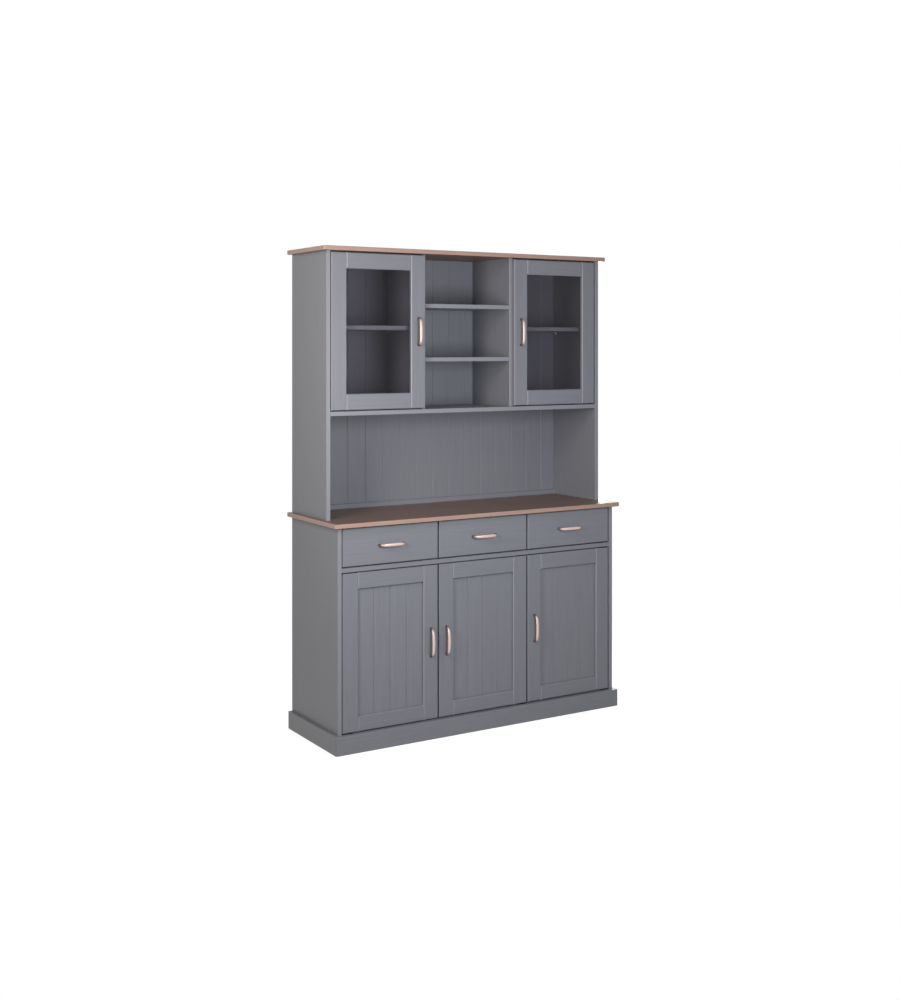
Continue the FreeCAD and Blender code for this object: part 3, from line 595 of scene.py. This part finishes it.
def nickel_plated_steel(name):
    """Pressed steel, barrel polished and bright nickel plated: warm white glints on its rolled edges."""
    material, tree, end = blank(name)
    wear = pattern(tree, (6, 6, 6), detail=3.0)
    body = add(tree, "ShaderNodeBsdfPrincipled", {}, {
        "Base Color": blend(tree, wear, solid(tone("#D9D4CB")), solid(tone("#CBC6BE"))),
        "Metallic": 1.0, "Roughness": spread(tree, wear, 0.14, 0.24)})
    tree.links.new(body.outputs[0], end.inputs[0])
    return material


def moulded_plastic(name, code, rough):
    """Injection moulded plastic with an etched skin. The eye gets an even, slightly grained matt surface."""
    material, tree, end = blank(name)
    skin = pattern(tree, (0.8, 0.8, 0.8), detail=2.0)
    tint = pattern(tree, (12, 12, 12), detail=2.0)
    colour = shaded(tree, tint, tone(code), 0.95, 1.03)
    gloss = spread(tree, skin, rough - 0.05, rough + 0.07)
    surface(tree, end, colour, gloss, {"IOR": 1.5}, skin, strength=0.3, depth=0.03 * MM)
    return material


def coat(material, *names):
    """Puts one material on all the faces of these nodes of the model."""
    for name in names:
        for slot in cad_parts[name].material_slots:
            slot.material = material


# Modelling by hand


def only(*pieces):
    """Selects these pieces and nothing else, the last one active."""
    if bpy.context.object and bpy.context.object.mode != "OBJECT":
        bpy.ops.object.mode_set(mode="OBJECT")
    bpy.ops.object.select_all(action="DESELECT")
    for piece in pieces:
        piece.select_set(True)
        bpy.context.view_layer.objects.active = piece


def pick(test):
    """Selects the faces whose middle and normal pass the test, in edit mode."""
    bpy.ops.mesh.select_mode(type="FACE")
    bpy.ops.mesh.select_all(action="DESELECT")
    mesh = bmesh.from_edit_mesh(bpy.context.object.data)
    for face in mesh.faces:
        if test(face.calc_center_median(), face.normal):
            face.select_set(True)
    bmesh.update_edit_mesh(bpy.context.object.data)


def pick_edges(test):
    """Selects the edges whose middle and direction pass the test, in edit mode."""
    bpy.ops.mesh.select_mode(type="EDGE")
    bpy.ops.mesh.select_all(action="DESELECT")
    mesh = bmesh.from_edit_mesh(bpy.context.object.data)
    for edge in mesh.edges:
        one, other = (end.co for end in edge.verts)
        if test((one + other) / 2, (other - one).normalized()):
            edge.select_set(True)
    bmesh.update_edit_mesh(bpy.context.object.data)


def settle(piece, name, material):
    """Applies a piece's place and turn, recalculates its normals, names it and gives it its material."""
    only(piece)
    bpy.ops.object.transform_apply(location=True, rotation=True, scale=True)
    bpy.ops.object.mode_set(mode="EDIT")
    bpy.ops.mesh.select_all(action="SELECT")
    bpy.ops.mesh.remove_doubles(threshold=SAME_SPOT * MM)
    bpy.ops.mesh.normals_make_consistent(inside=False)
    bpy.ops.object.mode_set(mode="OBJECT")
    piece.name = name
    piece.data.name = name
    piece.data.materials.clear()
    piece.data.materials.append(material)
    return piece


def copy_of(master, place, turn=(0.0, 0.0, 0.0)):
    """A copy of a master piece, with its own mesh, moved and turned to its place."""
    only(master)
    bpy.ops.object.duplicate(linked=False)
    made = bpy.context.object
    made.location = place
    made.rotation_euler = turn
    bpy.ops.object.transform_apply(location=True, rotation=True, scale=True)
    return made


def joined(pieces, name, material):
    """Makes one piece of several like ones."""
    only(*pieces)
    if len(pieces) > 1:
        bpy.ops.object.join()
    return settle(bpy.context.object, name, material)


def throw_away(piece):
    """Deletes a master piece once its copies are made."""
    only(piece)
    bpy.ops.object.delete()


def apply_and_edit():
    """Applies a new primitive's place and scale to its mesh, and goes on in edit mode."""
    bpy.ops.object.transform_apply(location=True, rotation=True, scale=True)
    bpy.ops.object.mode_set(mode="EDIT")


def disc(across, height, sides):
    """A plain disc on z = 0, in edit mode, with its top picked."""
    bpy.ops.object.select_all(action="DESELECT")
    bpy.ops.mesh.primitive_cylinder_add(
        vertices=sides, radius=across / 2, depth=height, location=(0, 0, height / 2))
    apply_and_edit()
    pick(lambda middle, normal: normal.z > 0.9)


def block(middle, size):
    """A plain block, in edit mode."""
    bpy.ops.object.select_all(action="DESELECT")
    bpy.ops.mesh.primitive_cube_add(size=1, location=middle, scale=size)
    apply_and_edit()


def smooth_shaded():
    """Leaves edit mode, shades the piece smooth between its sharp edges and gives it back."""
    bpy.ops.object.mode_set(mode="OBJECT")
    bpy.ops.object.shade_smooth_by_angle(angle=SMOOTH_ANGLE)
    return bpy.context.object


# Shares of a screw head's height: its rounding and its cross's depth.
HEAD_ROUND_SHARE = 0.55
CROSS_DEPTH_SHARE = 0.5
# Shares of its width: the rim round its flat and the reach of the cross.
HEAD_RIM_SHARE = 0.08
CROSS_REACH_SHARE = 0.2
# How near its arm's line a face of the cross lies, as a share of how far out it is, and how wide the cross is
# at its floor, as a share of its width at the top.
CROSS_ARM_SHARE = 0.3
CROSS_FLOOR_SHARE = 0.6


def screw_head(across, height):
    """A pan head with a cross recess, standing on z = 0 and looking up."""
    disc(across, height, 16)
    bpy.ops.mesh.bevel(offset=height * HEAD_ROUND_SHARE, segments=3, profile=0.5, affect="EDGES")
    pick(lambda middle, normal: normal.z > 0.999 and middle.z > height * 0.99)
    bpy.ops.mesh.inset(thickness=across * HEAD_RIM_SHARE)
    bpy.ops.mesh.poke()
    pick(lambda middle, normal: normal.z > 0.99 and middle.z > height * 0.99
         and middle.xy.length < across * CROSS_REACH_SHARE
         and min(abs(middle.x), abs(middle.y)) < CROSS_ARM_SHARE * middle.xy.length)
    bpy.ops.mesh.extrude_region_move(TRANSFORM_OT_translate={"value": (0, 0, -height * CROSS_DEPTH_SHARE)})
    bpy.ops.transform.resize(
        value=(CROSS_FLOOR_SHARE, CROSS_FLOOR_SHARE, 1.0),
        center_override=(0, 0, height * (1 - CROSS_DEPTH_SHARE)))
    return smooth_shaded()


def round_dot(across, height, rounding):
    """A low round dot on z = 0 with a rounded rim."""
    disc(across, height, 20)
    bpy.ops.mesh.bevel(offset=rounding, segments=2, profile=0.6, affect="EDGES")
    return smooth_shaded()


# The rounding of the spoon's ends, as a share of its width.
SPOON_ROUND_SHARE = 0.4


def spoon_support(width, drop):
    """A pressed shelf support: a plate down the wall at x = 0 and a ledge towards +X, its top at z = 0."""
    thick = SUPPORT_THICK * MM
    block((thick / 2, 0, -drop / 2), (thick, width, drop))
    bpy.ops.mesh.select_all(action="SELECT")
    bpy.ops.mesh.bisect(plane_co=(0, 0, -thick), plane_no=(0, 0, 1))
    pick(lambda middle, normal: normal.x > 0.9 and middle.z > -thick)
    bpy.ops.mesh.extrude_region_move(TRANSFORM_OT_translate={"value": (width - thick, 0, 0)})
    pick_edges(lambda middle, way: abs(way.x) > 0.9 and middle.z < -0.9 * drop)
    bpy.ops.mesh.bevel(offset=width * SPOON_ROUND_SHARE, segments=5, affect="EDGES")
    pick_edges(lambda middle, way: abs(way.z) > 0.9 and middle.x > 0.9 * width)
    bpy.ops.mesh.bevel(offset=width * SPOON_ROUND_SHARE, segments=5, affect="EDGES")
    bpy.ops.object.mode_set(mode="OBJECT")
    edge = bpy.context.object.modifiers.new("Rolled edge", "BEVEL")
    edge.width = SUPPORT_ROLL * MM
    edge.segments = 3
    edge.limit_method = "ANGLE"
    bpy.ops.object.modifier_apply(modifier=edge.name)
    return smooth_shaded()


# Shares of the half length and of the reach along the middle of the bar, from a foot to the crown,
# then how far the bar has gone from its foot's width and length to its grip's width and thickness.
BOW_SHARES = (
    (0.905, 0.000, 0.00, 0.00),
    (0.905, 0.020, 0.00, 0.02),
    (0.904, 0.160, 0.03, 0.18),
    (0.890, 0.370, 0.10, 0.42),
    (0.830, 0.580, 0.22, 0.66),
    (0.720, 0.735, 0.40, 0.84),
    (0.540, 0.825, 0.66, 0.95),
    (0.280, 0.873, 0.92, 1.00),
    (0.000, 0.886, 1.00, 1.00),
)
# The rim that is set in round the end of a foot, as a share of the foot's width.
FOOT_RIM_SHARE = 0.08


def bow_handle(sizes):
    """Draws half a handle from its foot to the crown, then mirrors and smooths it. It stands on y = 0."""
    spots = [Vector((0, -share[1] * sizes.reach, -share[0] * sizes.length / 2)) for share in BOW_SHARES]
    widths = [sizes.foot_width + (sizes.grip_width - sizes.foot_width) * share[2] for share in BOW_SHARES]
    depths = [
        sizes.foot_length + (sizes.grip_thickness - sizes.foot_length) * share[3] for share in BOW_SHARES]
    turns = [0.0, 0.0]
    for i in range(2, len(spots) - 1):
        step = spots[i + 1] - spots[i - 1]
        turns.append(math.atan2(step.z, -step.y))
    turns.append(math.pi / 2)
    bpy.ops.object.select_all(action="DESELECT")
    bpy.ops.mesh.primitive_circle_add(
        vertices=16, radius=0.5, fill_type="NGON", location=spots[0], rotation=(math.pi / 2, 0, 0))
    apply_and_edit()
    bpy.ops.mesh.select_all(action="SELECT")
    bpy.ops.transform.resize(value=(widths[0], 1.0, depths[0]), center_override=spots[0])
    bpy.ops.mesh.inset(thickness=sizes.foot_width * FOOT_RIM_SHARE)
    bpy.ops.mesh.select_all(action="SELECT")
    for i in range(1, len(spots)):
        bpy.ops.mesh.extrude_region_move(TRANSFORM_OT_translate={"value": spots[i] - spots[i - 1]})
        bpy.ops.transform.rotate(value=turns[i] - turns[i - 1], orient_axis="X", center_override=spots[i])
        thick = depths[i] / depths[i - 1]
        bpy.ops.transform.resize(value=(widths[i] / widths[i - 1], thick, thick), center_override=spots[i])
    bpy.ops.mesh.delete(type="FACE")
    bpy.ops.object.mode_set(mode="OBJECT")
    mirror = bpy.context.object.modifiers.new("Other half", "MIRROR")
    mirror.use_axis = (False, False, True)
    bpy.ops.object.modifier_apply(modifier=mirror.name)
    smooth = bpy.context.object.modifiers.new("Cast form", "SUBSURF")
    smooth.levels = smooth.render_levels = 2
    bpy.ops.object.modifier_apply(modifier=smooth.name)
    bpy.ops.object.shade_smooth()
    return bpy.context.object


# Operators


class SIDEBOARD_OT_painted_boards(bpy.types.Operator):
    """Paint the carcass, the doors and the drawer fronts"""

    bl_idname = "sideboard.painted_boards"
    bl_label = "Paint the boards"

    def execute(self, context):
        finish = context.scene.sideboard_finish
        coat(satin_paint("satin_paint_grain_up", "Z", finish, highlit_edges=UPRIGHT_EDGE_HIGHLIGHTS), *UPRIGHT_BOARDS)
        coat(satin_paint("satin_paint_grain_level", "X", finish), *LEVEL_BOARDS)
        coat(satin_paint("satin_paint_shelf", "X", finish, highlit_edges=SHELF_EDGE_HIGHLIGHTS), *SHELF_BOARDS)
        coat(satin_paint("satin_paint_grain_deep", "Y", finish), *DEEP_BOARDS)
        coat(satin_paint("satin_paint_door_frame", "FRAME", finish), *DOOR_FRAMES)
        coat(satin_paint("satin_paint_beadboard", "Z", finish, bare_rear=True), "hutch_back")
        coat(hardboard("hardboard_primed_inside", finish), "base_back")
        return {"FINISHED"}


class SIDEBOARD_OT_stained_boards(bpy.types.Operator):
    """Stain the worktop and the top board"""

    bl_idname = "sideboard.stained_boards"
    bl_label = "Stain the brown boards"

    def execute(self, context):
        pine = stained_board("stained_pine_satin_lacquer", context.scene.sideboard_finish)
        coat(pine, "worktop", "hutch_top")
        return {"FINISHED"}


class SIDEBOARD_OT_drawer_wood(bpy.types.Operator):
    """Finish the drawer boxes, their battens and the loose tenons in pale wood"""

    bl_idname = "sideboard.drawer_wood"
    bl_label = "Finish the pale wood"

    def execute(self, context):
        pine = pale_lacquered_wood("pine_matt_lacquer", context.scene.sideboard_finish)
        coat(pine, "drawer_runners", "hutch_tenons")
        for drawer in DRAWERS:
            coat(pine, drawer + "_box", drawer + "_floor")
        return {"FINISHED"}


class SIDEBOARD_OT_panes(bpy.types.Operator):
    """Glaze the hutch doors"""

    bl_idname = "sideboard.panes"
    bl_label = "Glaze the hutch doors"

    def execute(self, context):
        coat(float_glass("float_glass"), "hutch_door_left_glass", "hutch_door_right_glass")
        return {"FINISHED"}


class SIDEBOARD_OT_hinges_and_pins(bpy.types.Operator):
    """Brown the pivot hinges and strike plates, plate the shelf pins and mould the catches"""

    bl_idname = "sideboard.hinges_and_pins"
    bl_label = "Finish the hinges, pins and catches"

    def execute(self, context):
        coat(zinc_plated_steel("zinc_plated_steel"), "shelf_pins")
        coat(browned_steel("browned_steel"), "pivot_pin_plates", *(door + "_hardware" for door in DOORS))
        coat(moulded_plastic("moulded_plastic_catch", "#D9D6CD", 0.5), "door_catches")
        return {"FINISHED"}


class SIDEBOARD_OT_bow_handles(bpy.types.Operator):
    """Model the eight bow handles and put them in place of the plain ones"""

    bl_idname = "sideboard.bow_handles"
    bl_label = "Model the bow handles"

    def execute(self, context):
        copper = antique_copper("antique_copper_plating", context.scene.sideboard_finish)
        master = bow_handle(context.scene.sideboard_handle)
        for body in DOORS + DRAWERS:
            low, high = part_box(body + "_handle")
            middle = (low + high) / 2
            turn = (0.0, math.pi / 2, 0.0) if body in DRAWERS else (0.0, 0.0, 0.0)
            made = copy_of(master, (middle.x, high.y, middle.z), turn)
            settle(made, body + "_bow_handle", copper)
            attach(made, body)
            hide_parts(body + "_handle")
        throw_away(master)
        return {"FINISHED"}


class SIDEBOARD_OT_handle_screws(bpy.types.Operator):
    """Set the heads of the screws that hold each handle, behind the doors and the drawer fronts"""

    bl_idname = "sideboard.handle_screws"
    bl_label = "Set the handle screws"

    def execute(self, context):
        steel = zinc_plated_steel("zinc_plated_screw")
        master = screw_head(context.scene.sideboard_fittings.screw_head, HANDLE_SCREW_HEIGHT * MM)
        # A foot's screw stands at the middle of the foot.
        apart = context.scene.sideboard_handle.length * BOW_SHARES[0][0] / 2
        for body in DOORS + DRAWERS:
            low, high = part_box(body + "_handle")
            middle = (low + high) / 2
            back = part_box(body + ("_front" if body in DRAWERS else "_frame"))[0].y + FRONT_THICK * MM
            way = Vector((1, 0, 0)) if body in DRAWERS else Vector((0, 0, 1))
            heads = []
            for side in (-1, 1):
                place = Vector((middle.x, back, middle.z)) + way * side * apart
                heads.append(copy_of(master, place, (-math.pi / 2, 0.0, 0.0)))
            made = joined(heads, body + "_handle_screws", steel)
            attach(made, body)
        throw_away(master)
        return {"FINISHED"}


class SIDEBOARD_OT_catch_fittings(bpy.types.Operator):
    """Screw the catches to the partitions and give them their pole strips"""

    bl_idname = "sideboard.catch_fittings"
    bl_label = "Fit the catches"

    def execute(self, context):
        steel = zinc_plated_steel("zinc_plated_catch_parts")
        master = screw_head(context.scene.sideboard_fittings.small_head, CATCH_SCREW_HEIGHT * MM)
        heads, strips = [], []
        for wall, way, depth, height in CATCHES:
            for rise in CATCH_SCREW_RISES:
                place = Vector((wall + way * CATCH_WIDTH, depth, height + rise)) * MM
                heads.append(copy_of(master, place, (0.0, way * math.pi / 2, 0.0)))
            for across in POLE_STRIPS:
                place = Vector((wall + way * across, depth - CATCH_HALF_DEPTH, height)) * MM
                strips.append(self.pole_strip(place))
        made = joined(heads, "catch_screws", steel)
        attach(made, "carcass")
        made = joined(strips, "catch_pole_strips", steel)
        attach(made, "carcass")
        throw_away(master)
        return {"FINISHED"}

    def pole_strip(self, place):
        """The end of one pole plate, a hair proud of the catch, with its corners rounded."""
        block(place, Vector(POLE_STRIP_SIZE) * MM)
        pick_edges(lambda middle, way: abs(way.y) > 0.9)
        bpy.ops.mesh.bevel(offset=POLE_STRIP_ROUNDING * MM, segments=3, affect="EDGES")
        bpy.ops.object.mode_set(mode="OBJECT")
        return bpy.context.object


class SIDEBOARD_OT_bumpers(bpy.types.Operator):
    """Stick the clear bumpers on the partitions, where the doors and drawers close"""

    bl_idname = "sideboard.bumpers"
    bl_label = "Stick on the bumpers"

    def execute(self, context):
        clear = moulded_plastic("soft_moulded_bumper", "#C9CACB", 0.3)
        master = round_dot(context.scene.sideboard_fittings.bumper, BUMPER_HEIGHT * MM, BUMPER_ROUNDING * MM)
        dots = []
        for across, face, heights in LAPS:
            for height in heights:
                dots.append(copy_of(master, Vector((across, face, height)) * MM, (math.pi / 2, 0.0, 0.0)))
        made = joined(dots, "door_bumpers", clear)
        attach(made, "carcass")
        throw_away(master)
        return {"FINISHED"}


class SIDEBOARD_OT_shelf_supports(bpy.types.Operator):
    """Put a plated support on each pin of the hutch's loose shelves"""

    bl_idname = "sideboard.shelf_supports"
    bl_label = "Put in the shelf supports"

    def execute(self, context):
        fittings = context.scene.sideboard_fittings
        master = spoon_support(fittings.support_width, fittings.support_drop)
        supports = []
        for wall, way in SHELF_WALLS:
            for depth in SUPPORT_DEPTHS:
                turn = (0.0, 0.0, 0.0 if way > 0 else math.pi)
                supports.append(copy_of(master, Vector((wall, depth, SHELF_UNDERSIDE)) * MM, turn))
        made = joined(supports, "hutch_shelf_supports", nickel_plated_steel("nickel_plated_support"))
        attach(made, "carcass")
        throw_away(master)
        return {"FINISHED"}


class SIDEBOARD_OT_stage(bpy.types.Operator):
    """Set the floor, the lamps, the world and the camera"""

    bl_idname = "sideboard.stage"
    bl_label = "Set the stage"

    def execute(self, context):
        stage = context.scene.sideboard_stage
        self.floor(stage)
        self.lamps(stage)
        self.world(context, stage)
        self.camera(context, stage)
        context.scene.view_settings.view_transform = "Standard"
        return {"FINISHED"}

    def floor(self, stage):
        """A plain pale floor that keeps the shadow near the object and fades to white further out."""
        bpy.ops.object.select_all(action="DESELECT")
        bpy.ops.mesh.primitive_circle_add(
            vertices=96, radius=FLOOR_RADIUS, fill_type="NGON", location=(0, 0, 0))
        made = bpy.context.object
        made.name = "studio_floor"
        material, tree, end = blank("smooth_painted_floor")
        place = add(tree, "ShaderNodeTexCoord").outputs["Object"]
        distance = add(tree, "ShaderNodeVectorMath", {"operation": "LENGTH"}, {0: place}).outputs["Value"]
        fade = add(tree, "ShaderNodeMapRange", {"interpolation_type": "SMOOTHSTEP"}, {
            "Value": distance, "From Min": FLOOR_FADE[0], "From Max": FLOOR_FADE[1],
            "To Min": 0.0, "To Max": 1.0}).outputs[0]
        speck = pattern(tree, (30, 30, 30), detail=3.0)
        matt = add(tree, "ShaderNodeBsdfPrincipled", {}, {
            "Base Color": solid(stage.floor), "Roughness": spread(tree, speck, 0.6, 0.7)})
        lift = add(tree, "ShaderNodeEmission", {}, {"Color": WHITE, "Strength": FLOOR_LIFT})
        lifted = add(tree, "ShaderNodeAddShader", {}, {0: matt.outputs[0], 1: lift.outputs[0]})
        white = add(tree, "ShaderNodeEmission", {}, {"Color": WHITE, "Strength": 1.0})
        faded = add(tree, "ShaderNodeMixShader", {}, {0: fade, 1: lifted.outputs[0], 2: white.outputs[0]})
        seen = add(tree, "ShaderNodeMixShader", {}, {
            0: first_look(tree), 1: matt.outputs[0], 2: faded.outputs[0]})
        tree.links.new(seen.outputs[0], end.inputs[0])
        made.data.materials.append(material)

    def lamps(self, stage):
        """Soft lamps in front and behind, turned to the object, and a tall level one at the left."""
        for name, code in LAMP_TONES.items():
            place = Vector(getattr(stage, name + "_place"))
            middle = Vector(LAMP_AIM)
            if name == "side":
                middle.z = place.z
            turn = (middle - place).to_track_quat("-Z", "Y").to_euler()
            bpy.ops.object.light_add(type="AREA", location=place, rotation=turn)
            lamp = bpy.context.object
            lamp.name = name + "_lamp"
            lamp.data.shape = "RECTANGLE"
            lamp.data.size = getattr(stage, name + "_size")
            lamp.data.size_y = stage.side_height if name == "side" else lamp.data.size
            lamp.data.energy = getattr(stage, name + "_power")
            lamp.data.color = tone(code)

    def world(self, context, stage):
        """Even room light for the object, and white wherever the camera, a gloss or a pane looks past it."""
        world = bpy.data.worlds.new("studio")
        context.scene.world = world
        world.use_nodes = True
        tree = world.node_tree
        tree.nodes.clear()
        room = add(tree, "ShaderNodeBackground", {}, {
            "Color": solid(tone(ROOM_TONE)), "Strength": stage.fill})
        white = add(tree, "ShaderNodeBackground", {}, {"Color": WHITE, "Strength": 1.0})
        mix = add(tree, "ShaderNodeMixShader", {}, {
            0: first_look(tree), 1: room.outputs[0], 2: white.outputs[0]})
        add(tree, "ShaderNodeOutputWorld", {}, {0: mix.outputs[0]})

    def camera(self, context, stage):
        """The photograph's view, level and unrolled, shifted as its principal point says."""
        bpy.ops.object.camera_add(location=stage.camera_place, rotation=(math.pi / 2, 0, -stage.camera_turn))
        camera = bpy.context.object
        camera.name = "photograph_view"
        camera.data.sensor_fit = "HORIZONTAL"
        camera.data.sensor_width = SENSOR_WIDTH
        camera.data.lens = stage.camera_lens
        # Both shifts count in widths of the picture.
        camera.data.shift_x = (PICTURE[0] / 2 - PRINCIPAL_POINT[0]) / PICTURE[0]
        camera.data.shift_y = (PRINCIPAL_POINT[1] - PICTURE[1] / 2) / PICTURE[0]
        context.scene.camera = camera


STEPS = (
    SIDEBOARD_OT_painted_boards,
    SIDEBOARD_OT_stained_boards,
    SIDEBOARD_OT_drawer_wood,
    SIDEBOARD_OT_panes,
    SIDEBOARD_OT_hinges_and_pins,
    SIDEBOARD_OT_bow_handles,
    SIDEBOARD_OT_handle_screws,
    SIDEBOARD_OT_catch_fittings,
    SIDEBOARD_OT_bumpers,
    SIDEBOARD_OT_shelf_supports,
    SIDEBOARD_OT_stage,
)


class SIDEBOARD_PT_workshop(bpy.types.Panel):
    """The steps and settings of the sideboard, in the sidebar"""

    bl_idname = "SIDEBOARD_PT_workshop"
    bl_label = "Sideboard"
    bl_space_type = "VIEW_3D"
    bl_region_type = "UI"
    bl_category = "Sideboard"

    def draw(self, context):
        for group in GROUPS:
            settings = getattr(context.scene, group)
            box = self.layout.box()
            for key in settings.bl_rna.properties.keys():
                if key not in ("rna_type", "name"):
                    box.prop(settings, key)
        for step in STEPS:
            self.layout.operator(step.bl_idname)


GROUPS = {
    "sideboard_finish": SideboardFinish,
    "sideboard_handle": SideboardHandle,
    "sideboard_fittings": SideboardFittings,
    "sideboard_stage": SideboardStage,
}


def register():
    for kind in (*GROUPS.values(), *STEPS, SIDEBOARD_PT_workshop):
        bpy.utils.register_class(kind)
    for name, kind in GROUPS.items():
        setattr(bpy.types.Scene, name, bpy.props.PointerProperty(type=kind))


def unregister():
    for name in GROUPS:
        delattr(bpy.types.Scene, name)
    for kind in reversed((*GROUPS.values(), *STEPS, SIDEBOARD_PT_workshop)):
        bpy.utils.unregister_class(kind)


def main():
    """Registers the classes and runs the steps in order."""
    register()
    for step in STEPS:
        family, call = step.bl_idname.split(".")
        getattr(getattr(bpy.ops, family), call)()


if __name__ == "__main__":
    main()
